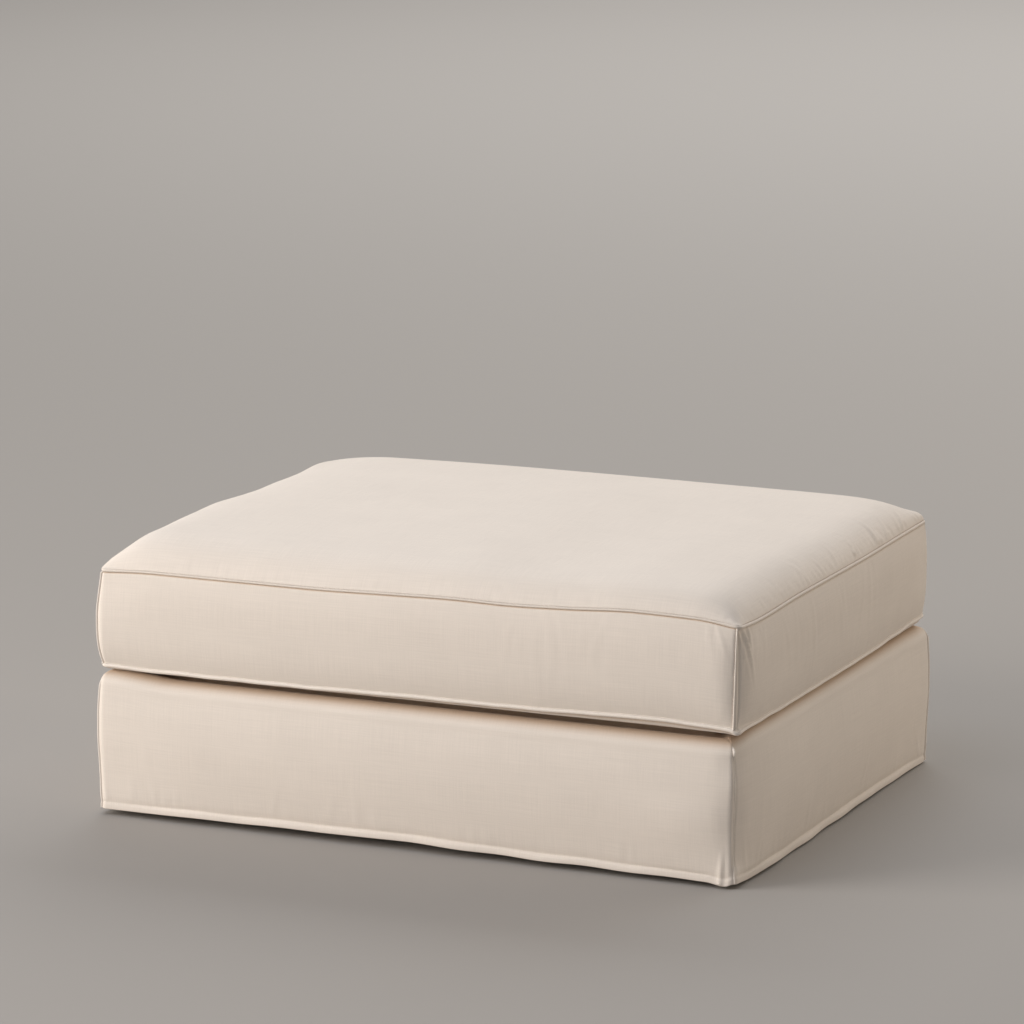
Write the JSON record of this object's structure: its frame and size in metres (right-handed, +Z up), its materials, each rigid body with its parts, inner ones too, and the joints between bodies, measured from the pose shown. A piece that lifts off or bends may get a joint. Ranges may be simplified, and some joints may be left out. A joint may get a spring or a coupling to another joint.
{
  "type": "upholstered pouf",
  "caption": "Rectangular pouf: a loose box cushion with welted seams and a soft crown on a low padded base in a hemmed canvas cover.",
  "frame": {"origin": "centre of the footprint, at floor level", "axes": "+X along the long side, towards the right seen from the front; +Y from the front to the back; +Z up"},
  "size_m": [1.015, 0.815, 0.4237],
  "materials": {
    "canvas": "natural ecru cotton canvas, plain weave, matt",
    "welt_canvas": "the same cotton canvas in raised seams, matt",
    "foot_plastic": "black moulded plastic, fine satin"
  },
  "bodies": {
    "root": {"cushion": "canvas", "cushion_top_welt": "welt_canvas", "cushion_bottom_welt": "welt_canvas", "cushion_seam_front_left": "welt_canvas", "cushion_seam_front_right": "welt_canvas", "cushion_seam_back_right": "welt_canvas", "cushion_seam_back_left": "welt_canvas", "base": "canvas", "base_seam_front_left": "welt_canvas", "base_seam_front_right": "welt_canvas", "base_seam_back_right": "welt_canvas", "base_seam_back_left": "welt_canvas", "foot_front_left": "foot_plastic", "foot_front_right": "foot_plastic", "foot_back_right": "foot_plastic", "foot_back_left": "foot_plastic"}
  },
  "joints": []
}
